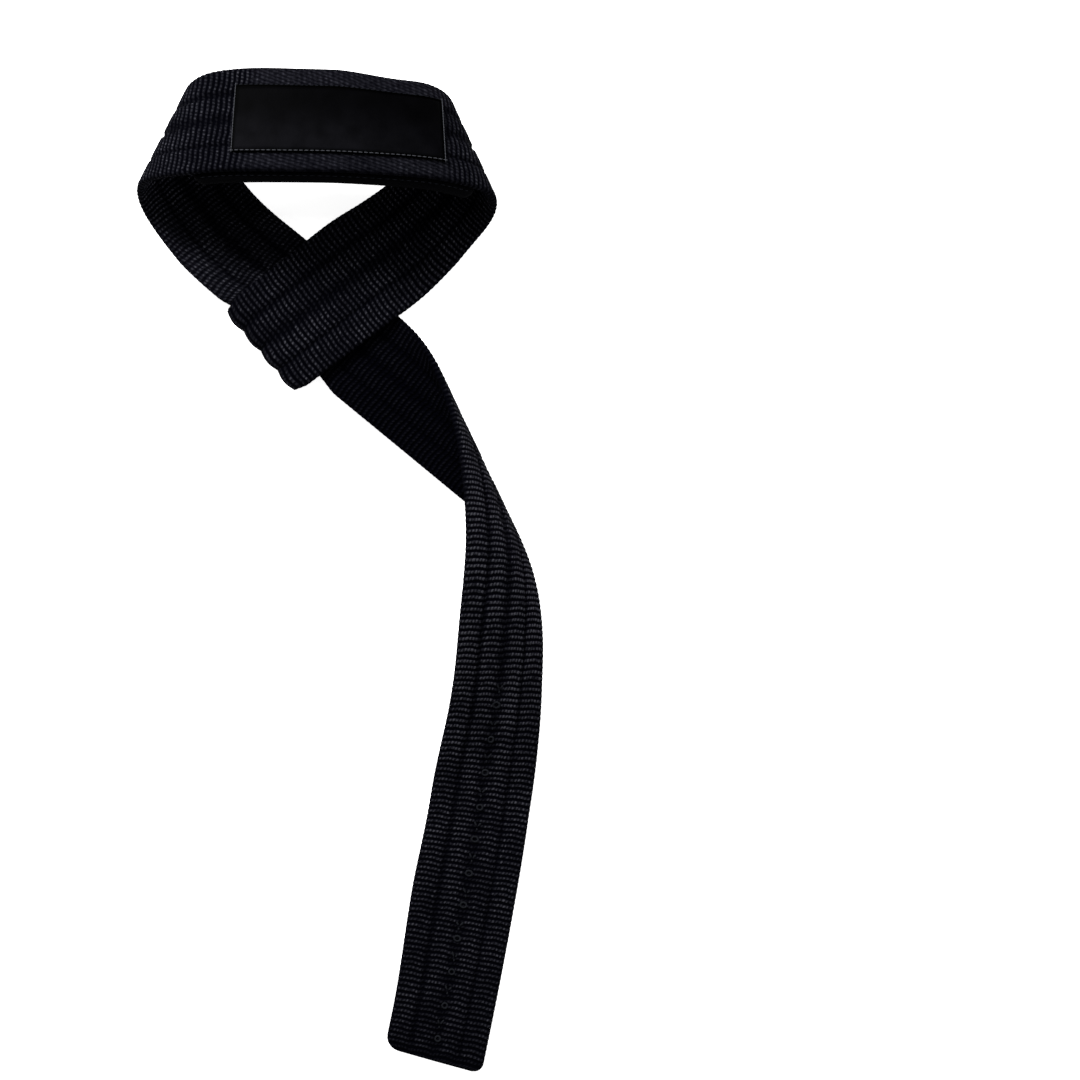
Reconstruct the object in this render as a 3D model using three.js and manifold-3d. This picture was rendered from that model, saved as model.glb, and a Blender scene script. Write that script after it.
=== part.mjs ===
// Weightlifting strap: one ribbed cotton webbing, laid down as a wrist loop and a tail.
// Lengths are millimetres and angles degrees. +Z is up, and +Y runs from the tail to the wrist loop.
// A place on the webbing is told by s, the way along its middle from the crossing, and t, the way
// across it, towards the edge that lies on top of the wrist loop. Each side has an inner face, which
// lies against the wrist, and an outer face.
import * as THREE from 'three';
import { mergeVertices } from 'three/addons/utils/BufferGeometryUtils.js';
import Module from 'manifold-3d';

const wasm = await Module();
wasm.setup();

// Webbing
const webWidth = 38.5;
const webThick = 3;
const grooveDepth = 0.7;
const edgeThick = 1.5;
const ribCount = 4;
const hemThick = 1.8;
const clearance = 0.3;

// Wrist loop
const leftLength = 55;
const rightLength = 60;
const loopRadius = 18;
const leftHeading = 140.5;
const rightHeading = 217.8;

// Tail
const tailLength = 322;
const tailRadius = 8.5;
const landing = 142;
const landHeading = 91.3;
const tailCorner = 4;
const tailCup = 0.88;

// Sleeve round the tail
const sleeveReach = 21;
const sleeveSpread = 1.12;
const sleeveShift = 1.2;
const tailTuck = 0.9;
const sleeveRoom = 0.5;
const backLength = 68;
const seamLength = 14;

// Wrist pad and label patch
const padLength = 108;
const padWidth = 43;
const padThick = 5;
const padShift = 9;
const labelLength = 80;
const labelWidth = 25.5;
const labelThick = 0.8;
const labelShift = 11.5;

const layer = webThick + clearance;
const restHeight = webThick / 2;
const rad = Math.PI / 180;
const square = 90;
const walkStep = webWidth / 80;

// The next four tables are walked away from the crossing. A row's run is a length along the webbing,
// turn bends it towards its inner face, ruling is the angle of the bend's straight lines to the
// webbing, and sway turns it within its own plane.

// Left side of the loop, walked from the crossing
const leftSide = [
  { run: 0.5 * leftLength, turn: 0, ruling: square, sway: -3 },
  { run: 0.5 * leftLength, turn: 0, ruling: square, sway: -10 },
  bend(1.5 * loopRadius, 30, 64.5),
  bend(0.92 * loopRadius, 100, 64.5),
  bend(1.5 * loopRadius, 30, 64.5),
];

// Right side of the loop, walked from the sleeve
const rightSide = [
  { run: 0.6 * rightLength, turn: 0, ruling: square },
  { run: 0.4 * rightLength, turn: 0, ruling: square, sway: -8 },
  bend(1.5 * loopRadius, 30, 111),
  bend(0.92 * loopRadius, 100, 111),
  bend(1.5 * loopRadius, 30, 111),
];

// Tail, where it comes out of the sleeve and rolls over
const tailFold = [
  { run: 0.5 * webWidth, turn: 0, ruling: square },
  { run: 1 * webWidth, turn: 0, ruling: square },
  bend(1.3 * tailRadius, 25, 26),
  bend(0.9 * tailRadius, 60, 24),
  bend(3 * tailRadius, 60, 26),
  bend(3 * tailRadius, 35, 29),
];

// Tail, where it lies on the ground
const tailRest = [
  { run: 0.12 * tailLength, turn: 0, ruling: square, sway: -5 },
  { run: 0.2 * tailLength, turn: 0, ruling: square, sway: -6 },
  { run: 0.2 * tailLength, turn: 0, ruling: square, sway: -2 },
];

// End of the loop, folded under the tail and back
const sleeveEnd = [
  { run: sleeveReach, turn: 0, ruling: square },
  bend(-layer - sleeveRoom / 2, 180, 87),
  { run: 0.4 * backLength, turn: 0, ruling: 87, sway: 9 },
  { run: 0.6 * backLength, turn: 0, ruling: square },
];

function bend(radius, turn, ruling) {
  const run = Math.abs(radius) * turn * rad / Math.sin(ruling * rad);
  return { run, turn: Math.sign(radius) * turn, ruling };
}

function frame(x, y, z, heading, innerUp) {
  const along = new THREE.Vector3(Math.cos(heading * rad), Math.sin(heading * rad), 0);
  const side = innerUp ? -1 : 1;
  const across = new THREE.Vector3(-along.y * side, along.x * side, 0);
  return { s: 0, lean: 0, point: new THREE.Vector3(x, y, z), along, across };
}

// Walks a table of bends from a start, with way 1 towards the sleeve end and -1 towards the tail
function walk(start, rows, way) {
  const path = [];
  const here = { ...start, point: start.point.clone(), along: start.along.clone() };
  here.across = start.across.clone();
  rows.forEach((row, index) => {
    const next = rows[index + 1] ?? row;
    const count = Math.max(2, Math.ceil(row.run / walkStep));
    const leanFrom = 1 / Math.tan(row.ruling * rad);
    const leanTo = 1 / Math.tan(next.ruling * rad);
    for (let i = 0; i < count; i += 1) {
      here.lean = leanFrom + (leanTo - leanFrom) * (i / count);
      path.push(copy(here));
      const ruling = here.along.clone().multiplyScalar(here.lean).add(here.across).normalize();
      const normal = here.across.clone().cross(here.along);
      const half = way * rad / count / 2;
      turnFrame(here, ruling, row.turn * half);
      turnFrame(here, normal, (row.sway ?? 0) * half);
      here.point.addScaledVector(here.along, way * row.run / count);
      here.s += way * row.run / count;
      turnFrame(here, ruling, row.turn * half);
      turnFrame(here, normal, (row.sway ?? 0) * half);
    }
    here.lean = leanTo;
  });
  path.push(copy(here));
  return way > 0 ? path : path.reverse();
}

function turnFrame(here, axis, angle) {
  here.along.applyAxisAngle(axis, angle);
  here.across.applyAxisAngle(axis, angle);
}

function copy(here) {
  return {
    s: here.s,
    lean: here.lean,
    point: here.point.clone(),
    along: here.along.clone(),
    across: here.across.clone(),
  };
}

// A place on a walked path, at height h over its middle towards the inner face
function place(path, s, t, h) {
  const key = (i) => path[i].s + t * path[i].lean;
  let low = 0;
  let high = path.length - 1;
  let mix = 0;
  if (s >= key(high)) {
    low = high;
  } else if (s > key(low)) {
    while (high - low > 1) {
      const middle = Math.floor((low + high) / 2);
      if (key(middle) <= s) low = middle;
      else high = middle;
    }
    mix = (s - key(low)) / (key(high) - key(low));
  } else {
    high = low;
  }
  const from = path[low];
  const to = path[high];
  const along = from.along.clone().lerp(to.along, mix).normalize();
  const across = from.across.clone().lerp(to.across, mix).normalize();
  const normal = across.clone().cross(along);
  const atRuling = from.s + (to.s - from.s) * mix;
  return from.point.clone().lerp(to.point, mix)
    .addScaledVector(along, s - atRuling)
    .addScaledVector(across, t)
    .addScaledVector(normal, h);
}

// The value in a table's column at s, eased from row to row
function valueAt(table, column, s) {
  const upper = table.findIndex((row) => row.at > s);
  const from = table.at(upper < 0 ? -1 : Math.max(0, upper - 1));
  const to = table.at(upper);
  const share = upper > 0 ? ease(from.at, to.at, s) : 0;
  return from[column] + (to[column] - from[column]) * share;
}

function ease(from, to, value) {
  const share = THREE.MathUtils.clamp((value - from) / (to - from), 0, 1);
  return share * share * (3 - 2 * share);
}

// The loop's two sides are walked to where their rolls end, and an arch joins them. The sleeve's
// middle line passes a little down the tail from the crossing.
const crossing = frame(0, 0, restHeight + layer, leftHeading, true);
const sleeveX = -sleeveShift * Math.cos(leftHeading * rad);
const sleeveY = -sleeveShift * Math.sin(leftHeading * rad);
const sleeve = frame(sleeveX, sleeveY, restHeight + 2 * layer + sleeveRoom, rightHeading, true);
const leftEnd = walk(crossing, leftSide, 1).at(-1);
const rightEnd = walk(sleeve, rightSide, -1)[0];
const archTurn = leftEnd.along.angleTo(rightEnd.along);
const archChord = leftEnd.point.distanceTo(rightEnd.point);
const archRun = archChord * (archTurn / 2) / Math.sin(archTurn / 2);
const arch = [{ run: archRun, turn: archTurn / rad, ruling: square }];
const loopLength = leftEnd.s + archRun - rightEnd.s;

const tailPath = walk(crossing, tailFold, -1);
const crossingPath = [...tailPath.slice(0, -1), ...walk(crossing, [...leftSide, ...arch], 1)];
const rightPath = walk(sleeve, [...rightSide, ...arch], -1);
const sleevePath = [...rightPath.slice(0, -1), ...walk(sleeve, sleeveEnd, 1)];
const foldEnd = sleevePath.at(-1).s;

// Past its fold the tail stands on one edge, and this edge leads it down to the ground
const foot = place(crossingPath, -landing, -webWidth / 2, 0);
const restStart = frame(foot.x, foot.y, restHeight, landHeading, false);
restStart.point.addScaledVector(restStart.across, webWidth / 2);
restStart.s = -landing;
const restPath = walk(restStart, tailRest, -1);

const foldStart = loopLength + sleeveReach;
const foldStop = foldStart + Math.PI * (layer + sleeveRoom / 2);
const webEnd = loopLength + foldEnd;

// How far the two sides sink towards the ground. The second is counted from the sleeve.
const crossingSettle = [
  { at: -1.8 * webWidth, drop: layer },
  { at: -0.6 * webWidth, drop: 0 },
  { at: 0.6 * webWidth, drop: 0 },
  { at: 1.1 * leftLength, drop: layer },
];
const sleeveSettle = [
  { at: -1.4 * rightLength, drop: 2 * layer + sleeveRoom },
  { at: -0.9 * rightLength, drop: layer + sleeveRoom },
  { at: -0.66 * rightLength, drop: layer + sleeveRoom },
  { at: -0.35 * rightLength, drop: 0 },
];

// How far the loop's middle line wanders across its band
const bandBow = [
  { at: 0.2 * loopLength, shift: 0 },
  { at: 0.35 * loopLength, shift: -0.07 * webWidth },
  { at: 0.53 * loopLength, shift: 0.11 * webWidth },
  { at: 0.7 * loopLength, shift: 0 },
];

// How much of the tail's place is the ground's and no longer the fold's
const tailLanding = [
  { at: -0.7 * tailLength, share: 1 },
  { at: -0.38 * tailLength, share: 0 },
];

// Widths that the webbing is cupped, tucked or spread to
const cupWidths = [
  { at: -0.75 * tailLength, share: 1 },
  { at: -0.52 * tailLength, share: tailCup },
  { at: -0.44 * tailLength, share: tailCup },
  { at: -0.32 * tailLength, share: 1 },
];
const tuckWidths = [
  { at: -0.75 * webWidth, share: 1 },
  { at: -0.45 * webWidth, share: tailTuck },
  { at: 0.45 * webWidth, share: tailTuck },
  { at: 0.75 * webWidth, share: 1 },
];
const sleeveWidths = [
  { at: loopLength - webWidth, share: 1 },
  { at: loopLength - 0.4 * webWidth, share: sleeveSpread },
  { at: foldStart, share: sleeveSpread },
  { at: foldStart + 0.5 * webWidth, share: 1 },
];

// Where the webbing needs closer stations, each row up to the next
const stretches = [
  { from: tailCorner - tailLength, step: 0.26 * webWidth },
  { from: -0.72 * tailLength, step: 0.12 * webWidth },
  { from: -0.6 * webWidth, step: 0.18 * webWidth },
  { from: 0.8 * leftLength, step: 0.1 * webWidth },
  { from: leftEnd.s + 0.1 * archRun, step: 0.18 * webWidth },
  { from: leftEnd.s + 0.9 * archRun, step: 0.1 * webWidth },
  { from: loopLength - 0.6 * rightLength, step: 0.12 * webWidth },
  { from: foldStart - layer, step: 0.03 * webWidth },
  { from: foldStop + layer, step: 0.2 * webWidth },
  { from: webEnd, step: 0.2 * webWidth },
];

function onCrossing(s, t, h) {
  const point = place(crossingPath, s, t, h);
  point.z -= valueAt(crossingSettle, 'drop', s);
  return point;
}

function onSleeve(s, t, h) {
  const point = place(sleevePath, s, t, h);
  point.z -= valueAt(sleeveSettle, 'drop', s);
  return point;
}

// A place on the laid webbing
function onWebbing(s, t, h) {
  if (s > loopLength) return onSleeve(s - loopLength, t, h);
  if (s > 0) {
    const share = ease(leftEnd.s, leftEnd.s + archRun, s);
    const bowed = t + valueAt(bandBow, 'shift', s);
    return onCrossing(s, bowed, h).lerp(onSleeve(s - loopLength, bowed, h), share);
  }
  return onCrossing(s, t, h).lerp(place(restPath, s, t, h), valueAt(tailLanding, 'share', s));
}

// Width at s as a share of the flat webbing's, on the side that t names
function spread(s, t) {
  const tuck = t < 0 ? valueAt(tuckWidths, 'share', s) : 1;
  return tuck * valueAt(cupWidths, 'share', s) * valueAt(sleeveWidths, 'share', s);
}

// Cross-section of the ribbed webbing, as one loop of t and h. Each rib is flat along its crest.
function webbingSection() {
  const pitch = webWidth / ribCount;
  const crest = 0.27 * pitch;
  const inner = [];
  for (let rib = 0; rib < ribCount; rib += 1) {
    const middle = (rib + 0.5) * pitch - webWidth / 2;
    const start = rib === 0 ? edgeThick / 2 : webThick / 2 - grooveDepth;
    inner.push([middle - pitch / 2, start]);
    inner.push([middle - crest, webThick / 2]);
    inner.push([middle + crest, webThick / 2]);
  }
  inner.push([webWidth / 2, edgeThick / 2]);
  const outer = inner.map(([t, h]) => [t, -h]).reverse();
  return [...inner, ...outer];
}

function plateSection(width, thick, middle) {
  const round = thick / 4;
  return [
    [-width / 2, middle - thick / 2 + round],
    [-width / 2, middle + thick / 2 - round],
    [-width / 2 + round, middle + thick / 2],
    [0, middle + thick / 2],
    [width / 2 - round, middle + thick / 2],
    [width / 2, middle + thick / 2 - round],
    [width / 2, middle - thick / 2 + round],
    [width / 2 - round, middle - thick / 2],
    [0, middle - thick / 2],
    [-width / 2 + round, middle - thick / 2],
  ];
}

// Sweeps a section along stations. Its points pair up first with last, to close both ends.
function sweep(section, stations, shape) {
  const count = section.length;
  const points = [];
  const faces = [];
  for (const station of stations) {
    for (const [t, h] of section) points.push(...shape(station, t, h).toArray());
  }
  for (let row = 0; row + 1 < stations.length; row += 1) {
    for (let i = 0; i < count; i += 1) {
      const a = row * count + i;
      const b = row * count + (i + 1) % count;
      faces.push(a, b, a + count, b, b + count, a + count);
    }
  }
  const last = (stations.length - 1) * count;
  for (let i = 0; i + 1 < count / 2; i += 1) {
    const j = count - 1 - i;
    faces.push(i, j, i + 1, i + 1, j, j - 1);
    faces.push(last + i, last + i + 1, last + j, last + i + 1, last + j - 1, last + j);
  }
  const geometry = new THREE.BufferGeometry();
  geometry.setAttribute('position', new THREE.Float32BufferAttribute(points, 3));
  geometry.setIndex(faces);
  return geometry;
}

function spaced(from, to, step) {
  const count = Math.max(1, Math.round(Math.abs(to - from) / step));
  return Array.from({ length: count }, (_, i) => from + (to - from) * i / count);
}

// Stations along the webbing, with its rounded end first
function webbingStations() {
  const corner = [0, 0.1, 0.35].map((share) => share * tailCorner - tailLength);
  const rest = stretches.slice(0, -1).flatMap((row, i) => (
    spaced(row.from, stretches[i + 1].from, row.step)
  ));
  return [...corner, ...rest, webEnd];
}

function webbingShape(s, t, h) {
  const fromEnd = s + tailLength;
  const inset = Math.max(0, tailCorner - fromEnd);
  const cut = tailCorner - Math.sqrt(tailCorner ** 2 - inset ** 2);
  const narrow = 1 - cut / (webWidth / 2);
  const thin = 1 - (1 - hemThick / webThick) * (inset / tailCorner) ** 2;
  return onWebbing(s, t * narrow * spread(s, t), h * thin);
}

function solid(geometry) {
  const merged = mergeVertices(geometry, 1e-5);
  return new wasm.Manifold(new wasm.Mesh({
    numProp: 3,
    vertProperties: new Float32Array(merged.attributes.position.array),
    triVerts: new Uint32Array(merged.index.array),
  }));
}

function geometryOf(manifold) {
  const mesh = manifold.getMesh();
  const geometry = new THREE.BufferGeometry();
  geometry.setAttribute('position', new THREE.Float32BufferAttribute(mesh.vertProperties, 3));
  geometry.setIndex(Array.from(mesh.triVerts));
  return geometry;
}

// The seam that holds the folded end to the side of the loop above it
function seam() {
  const halfWidth = 0.4 * webWidth;
  const section = [
    [-halfWidth, 0],
    [halfWidth, 0],
    [halfWidth, -layer],
    [-halfWidth, -layer],
  ];
  return sweep(section, [webEnd - seamLength, webEnd - clearance], onWebbing);
}

function strap() {
  const webbing = solid(sweep(webbingSection(), webbingStations(), webbingShape));
  return geometryOf(webbing.add(solid(seam())));
}

const loopMiddle = leftEnd.s + archRun / 2;

// Stations between two places, shared with the webbing so that what lies on it keeps its gap
function stationsBetween(from, to) {
  const inside = webbingStations().filter((s) => s > from + clearance && s < to - clearance);
  return [from, ...inside, to];
}

function wristPad() {
  const middle = loopMiddle + padShift;
  const section = plateSection(padWidth, padThick, webThick / 2 + clearance + padThick / 2);
  return sweep(section, stationsBetween(middle - padLength / 2, middle + padLength / 2), onWebbing);
}

function labelPatch() {
  const middle = loopMiddle + labelShift;
  const section = plateSection(labelWidth, labelThick, -webThick / 2 - clearance - labelThick / 2);
  return sweep(section, stationsBetween(middle - labelLength / 2, middle + labelLength / 2), onWebbing);
}

const cotton = { color: 0x17181c, roughness: 0.95, metalness: 0 };
const neoprene = { color: 0x20242c, roughness: 0.85, metalness: 0 };
const satin = { color: 0x121316, roughness: 0.5, metalness: 0 };

const part = new THREE.Group();

function addPiece(name, geometry, finish) {
  geometry.computeVertexNormals();
  const mesh = new THREE.Mesh(geometry, new THREE.MeshStandardMaterial(finish));
  mesh.name = name;
  part.add(mesh);
}

addPiece('strap', strap(), cotton);
addPiece('wrist_pad', wristPad(), neoprene);
addPiece('label_patch', labelPatch(), satin);

// The origin is the middle of the part's box, on the ground
const box = new THREE.Box3().setFromObject(part, true);
part.position.set(-(box.min.x + box.max.x) / 2, -(box.min.y + box.max.y) / 2, -box.min.z);

export default part;
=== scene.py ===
"""Weightlifting strap, laid as a wrist loop and a tail on a pale floor, seen from straight above."""

import math

import bpy
import numpy as np
from mathutils import Matrix, Vector


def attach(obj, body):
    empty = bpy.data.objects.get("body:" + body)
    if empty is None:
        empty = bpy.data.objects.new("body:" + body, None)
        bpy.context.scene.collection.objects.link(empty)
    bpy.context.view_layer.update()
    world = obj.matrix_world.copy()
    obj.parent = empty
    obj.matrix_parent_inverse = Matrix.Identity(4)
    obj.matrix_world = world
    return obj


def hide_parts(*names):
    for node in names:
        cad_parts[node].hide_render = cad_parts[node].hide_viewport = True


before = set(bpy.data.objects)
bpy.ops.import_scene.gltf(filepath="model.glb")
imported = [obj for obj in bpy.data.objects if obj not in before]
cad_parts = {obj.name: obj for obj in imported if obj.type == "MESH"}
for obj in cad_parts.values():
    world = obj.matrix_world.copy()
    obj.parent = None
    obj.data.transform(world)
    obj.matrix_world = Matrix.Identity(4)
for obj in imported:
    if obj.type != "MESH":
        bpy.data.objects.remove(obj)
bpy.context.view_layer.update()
bpy.ops.object.select_all(action="DESELECT")

MM = 0.001

# The webbing, in millimetres
WEB_WIDTH = 38.5
WEB_THICK = 3.0
GROOVE_THICK = 1.5
EDGE_THICK = 1.3
RIB_COUNT = 4
CLEARANCE = 0.3
LAYER = WEB_THICK + CLEARANCE
REST_HEIGHT = WEB_THICK / 2
PIECE_GAP = 0.05

# The wrist loop
LEFT_LENGTH = 55.0
RIGHT_LENGTH = 60.0
LOOP_RADIUS = 18.0
LEFT_HEADING = 140.5
RIGHT_HEADING = 217.8

# The tail, which turns over once and lands flat
TAIL_LENGTH = 322.0
TAIL_RADIUS = 8.5
LANDING = 142.0
LAND_HEADING = 91.3
TAIL_CUP = 0.88
TAIL_TUCK = 0.9

# The tail's end: round corners, a smooth hem, and a cut that isn't quite square
TAIL_CORNER = 4.0
WIDE_CORNER = 1.5 * TAIL_CORNER
HEM_LENGTH = 4.0
HEM_EASE = 0.5
HEM_CROWN = 0.35
ASKEW = 0.05
ASKEW_RUN = 25.0

# The sleeve end, folded back and sewn to itself
SLEEVE_REACH = 21.0
SLEEVE_SPREAD = 1.12
SLEEVE_SHIFT = 1.2
SLEEVE_ROOM = 0.5
FOLD_RADIUS = LAYER + SLEEVE_ROOM / 2
FOLD_PINCH = 0.6
FOLD_WAIST = 0.07
BACK_LENGTH = 68.0
SEAM_LENGTH = 14.0

# Wrist pad and label patch
PAD_LENGTH = 108.0
PAD_WIDTH = 43.0
PAD_THICK = 5.0
PAD_SHIFT = 9.0
PAD_CORNER = 6.0
PAD_ROUND = 3.0
PAD_RIM = 0.35
LABEL_LENGTH = 80.0
LABEL_WIDTH = 25.5
LABEL_THICK = 0.8
LABEL_SHIFT = 11.5
LABEL_SLIP = 2.0
LABEL_DRAW = 0.04
LABEL_SAG = 0.05

# The patch's thickness in from its edge: a turned hem, the gutter that the stitches pull in, and the face
HEM_PROFILE = [
    {"at": 0, "share": 0.5},
    {"at": 0.25, "share": 1},
    {"at": 0.5, "share": 1},
    {"at": 0.9, "share": 0.55},
    {"at": 1.1, "share": 0.55},
    {"at": 1.7, "share": 0.85},
]

# The crossing's place in the part's frame
CROSSING = np.array([-13.94, 103.8, 0])

# A ruling straight across the webbing, in degrees
SQUARE = 90.0
WALK_STEP = WEB_WIDTH / 80
TINY = 1e-9

# Factors that scatter seeds into noise
SCATTER = (12.9898, 78.233, 37.719)
SCATTER_GAIN = 43758.5453

# The weave: a crosswise rib every ROW_PITCH, made of threads THREAD_PITCH apart
ROW_PITCH = 2.07
THREAD_PITCH = 1.35
ROW_DEPTH = 0.34
ROW_UNEVEN = 0.3
UNEVEN_WIDTH = 3.0
ROW_CUTS = 5
CHANNEL_CUTS = 12
SELVEDGE_LOOP = 0.05
EDGE_ROUND = 1.2

# How the rows wander, in shares of their pitch: all together, channel by channel and over a channel
ROW_WANDER = 0.1
CHANNEL_WANDER = 0.12
ROW_BOW = 0.16
RIPPLES = [
    {"reach": 0.03, "across": 0.8, "along": 0.31},
    {"reach": 0.02, "across": 1.9, "along": -0.53},
]

# The grooves between the channels. The binder's thread gathers the wide middle one every few rows.
BINDER_PITCH = 12.9
BINDER_START = 9 - TAIL_LENGTH
BINDER_STOP = -0.5 * TAIL_LENGTH
BINDER_RISE = 0.2
BINDER_LOOP = 1.05
BINDER_THREAD = 0.4
GROOVE_EASE = 0.8
GROOVES = [
    {"at": -0.25 * WEB_WIDTH, "half": 0.7, "gather": 0},
    {"at": 0, "half": 2.1, "gather": 0.4},
    {"at": 0.25 * WEB_WIDTH, "half": 1.2, "gather": 0},
]

# Stitches: how far apart they are, and how long, wide and high each one stands
SEAM_STITCH = {"pitch": 2.9, "size": (2.2, 0.5, 0.4)}
PAD_STITCH = {"pitch": 2.6, "size": (1.9, 0.35, 0.35)}
LOWER_STITCH = {"pitch": 2.0, "size": (1.7, 0.36, 0.3)}
UPPER_STITCH = {"pitch": 2.0, "size": (1.5, 0.3, 0.26)}
SHORT_STITCH = {"pitch": 1.2, "size": (1.5, 0.3, 0.26)}
SEAM_INSET = 2.0
PAD_STITCH_INSET = 1.3
LABEL_STITCH_INSET = 0.35
STITCH_SINK = 0.1

# The camera stands over the middle of the picture, which shows FIELD millimetres of floor
PICTURE_POINTS = 1080
POINTS_PER_MM = 2.6
FIELD = PICTURE_POINTS / POINTS_PER_MM
CAMERA_PLACE = (73.84, 15.65, 700.0)
SENSOR = 36

# The studio, in metres and watts. The floor lies a hair below the lowest ribs.
FLOOR_SIZE = 30.0
FLOOR_DROP = 0.0003
PAPER_GLOW = 0.9
SKY_LIGHT = 0.18
SOFTBOXES = [
    {"name": "overhead", "stand": (0.0, 0.8, 1.3), "size": 1.2, "power": 16},
    {"name": "upper_left", "stand": (-0.75, 1.1, 1.05), "size": 0.4, "power": 58},
    {"name": "low_right", "stand": (1.2, -0.6, 0.5), "size": 0.5, "power": 8},
]


def bend(radius, turn, ruling):
    """A stretch that turns by some degrees about rulings at a slant across the webbing."""
    run = abs(radius) * math.radians(turn) / math.sin(math.radians(ruling))
    return {"run": run, "turn": math.copysign(turn, radius), "ruling": ruling}


def straight(run, sway=0.0, ruling=SQUARE):
    """A stretch that doesn't turn over, but may sway to one side by some degrees."""
    return {"run": run, "turn": 0.0, "ruling": ruling, "sway": sway}


def band_turn(ruling):
    """The turn at an end of the band, tight in its middle and eased in and out."""
    slow = bend(1.5 * LOOP_RADIUS, 30, ruling)
    return [slow, bend(0.92 * LOOP_RADIUS, 100, ruling), slow]


# The sides of the loop, the tail and the sleeve end, each walked away from the crossing
left_side = [
    straight(0.5 * LEFT_LENGTH, sway=-3),
    straight(0.5 * LEFT_LENGTH, sway=-10),
] + band_turn(64.5)
right_side = [
    straight(0.6 * RIGHT_LENGTH),
    straight(0.4 * RIGHT_LENGTH, sway=-8),
] + band_turn(111)
tail_fold = [
    straight(0.5 * WEB_WIDTH),
    straight(WEB_WIDTH),
    bend(1.3 * TAIL_RADIUS, 25, 26),
    bend(0.9 * TAIL_RADIUS, 60, 24),
    bend(3 * TAIL_RADIUS, 60, 26),
    bend(3 * TAIL_RADIUS, 35, 29),
]
tail_rest = [
    straight(0.12 * TAIL_LENGTH, sway=-5),
    straight(0.2 * TAIL_LENGTH, sway=-6),
    straight(0.2 * TAIL_LENGTH, sway=-2),
]
sleeve_end = [
    straight(SLEEVE_REACH),
    bend(-FOLD_RADIUS, 180, 87),
    straight(0.4 * BACK_LENGTH, sway=9, ruling=87),
    straight(0.6 * BACK_LENGTH),
]


def start_frame(x, y, z, heading, inner_up):
    """A start of a walk: a place, the way along the webbing and the way across it."""
    angle = math.radians(heading)
    side = -1 if inner_up else 1
    along = Vector((math.cos(angle), math.sin(angle), 0))
    across = Vector((-along.y * side, along.x * side, 0))
    return {"s": 0.0, "point": Vector((x, y, z)), "along": along, "across": across}


def walk(start, rows, way):
    """Walks rows of bends from a start, way 1 towards the sleeve end and -1 towards the tail."""
    s = start["s"]
    point = start["point"].copy()
    along = start["along"].copy()
    across = start["across"].copy()
    steps = []
    for index, row in enumerate(rows):
        following = rows[min(index + 1, len(rows) - 1)]
        count = max(2, math.ceil(row["run"] / WALK_STEP))
        lean_from = 1 / math.tan(math.radians(row["ruling"]))
        lean_to = 1 / math.tan(math.radians(following["ruling"]))
        turn = way * math.radians(row["turn"]) / count / 2
        sway = way * math.radians(row.get("sway", 0)) / count / 2
        for i in range(count):
            lean = lean_from + (lean_to - lean_from) * i / count
            steps.append((s, lean, *point, *along, *across))
            ruling = (along * lean + across).normalized()
            normal = across.cross(along)
            half = Matrix.Rotation(sway, 3, normal) @ Matrix.Rotation(turn, 3, ruling)
            along, across = half @ along, half @ across
            point += along * (way * row["run"] / count)
            s += way * row["run"] / count
            along, across = half @ along, half @ across
        lean = lean_to
    steps.append((s, lean, *point, *along, *across))
    return np.array(steps if way > 0 else steps[::-1])


def place(path, s, t, h):
    """Places at s along, t across and h over a walked path, as rows of x, y and z."""
    low = np.zeros(s.shape, int)
    high = np.full(s.shape, len(path) - 1)
    while np.any(high - low > 1):
        middle = (low + high) // 2
        before = path[middle, 0] + t * path[middle, 1] <= s
        low = np.where(before, middle, low)
        high = np.where(before, high, middle)
    key_low = path[low, 0] + t * path[low, 1]
    key_high = path[high, 0] + t * path[high, 1]
    mix = np.clip((s - key_low) / np.maximum(key_high - key_low, TINY), 0, 1)[:, None]
    row = path[low] * (1 - mix) + path[high] * mix
    along = row[:, 5:8] / np.linalg.norm(row[:, 5:8], axis=1, keepdims=True)
    across = row[:, 8:11] / np.linalg.norm(row[:, 8:11], axis=1, keepdims=True)
    normal = np.cross(across, along)
    past = (s - row[:, 0])[:, None]
    return row[:, 2:5] + along * past + across * t[:, None] + normal * h[:, None]


def ease(start, end, value):
    """0 before start and 1 past end, with a smooth rise between them."""
    share = np.clip((value - start) / (end - start), 0, 1)
    return share * share * (3 - 2 * share)


def between(start, end, outside, inside, s):
    """1 between start and end, eased over a run outside and a run inside each of them."""
    return ease(start - outside, start + inside, s) * (1 - ease(end - inside, end + outside, s))


def value_at(table, column, s):
    """The value in a table's column at s, eased from row to row."""
    value = np.full(s.shape, float(table[0][column]))
    for low, high in zip(table, table[1:]):
        value += (high[column] - low[column]) * ease(low["at"], high["at"], s)
    return value


left_way = math.radians(LEFT_HEADING)
crossing = start_frame(0, 0, REST_HEIGHT + LAYER, LEFT_HEADING, True)
sleeve = start_frame(
    -SLEEVE_SHIFT * math.cos(left_way), -SLEEVE_SHIFT * math.sin(left_way),
    REST_HEIGHT + 2 * LAYER + SLEEVE_ROOM, RIGHT_HEADING, True)

# The arch joins the two walked sides over the top of the loop
left_end = walk(crossing, left_side, 1)[-1]
right_end = walk(sleeve, right_side, -1)[0]
arch_turn = math.acos(np.dot(left_end[5:8], right_end[5:8]))
arch_chord = np.linalg.norm(left_end[2:5] - right_end[2:5])
arch_run = arch_chord * (arch_turn / 2) / math.sin(arch_turn / 2)
arch = [{"run": arch_run, "turn": math.degrees(arch_turn), "ruling": SQUARE}]
LOOP_LENGTH = left_end[0] + arch_run - right_end[0]
LOOP_MIDDLE = left_end[0] + arch_run / 2

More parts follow.
